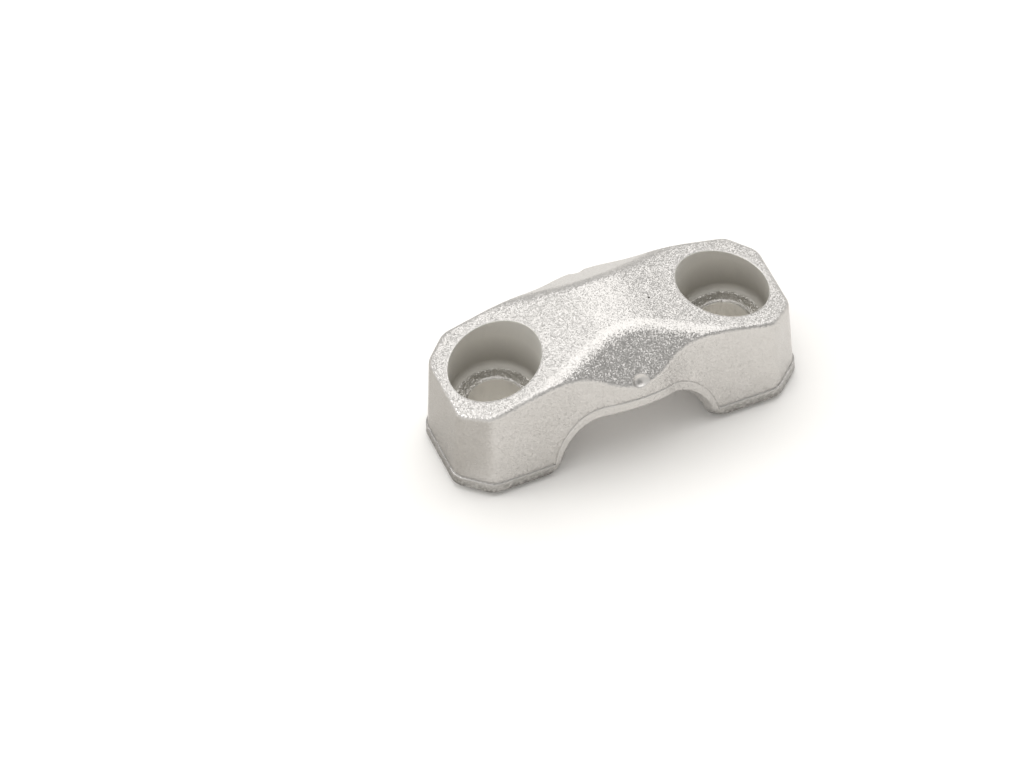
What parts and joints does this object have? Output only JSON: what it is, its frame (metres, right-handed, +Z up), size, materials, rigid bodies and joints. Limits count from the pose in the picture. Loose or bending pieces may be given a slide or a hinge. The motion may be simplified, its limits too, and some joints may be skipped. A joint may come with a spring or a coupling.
{
  "type": "handlebar clamp cap",
  "caption": "Forged aluminium cap of a handlebar riser: a half-round saddle clamps the bar between two sloping counterbored bolt ends.",
  "frame": {"origin": "on the foot plane, midway between the two bolt axes", "axes": "+X from bolt to bolt, +Y along the handlebar, +Z up from the feet to the crown"},
  "size_m": [0.0594, 0.0266, 0.0241],
  "materials": {
    "blasted_aluminium": "bare, shot-blasted"
  },
  "bodies": {
    "root": {"clamp_cap": "blasted_aluminium"}
  },
  "joints": []
}
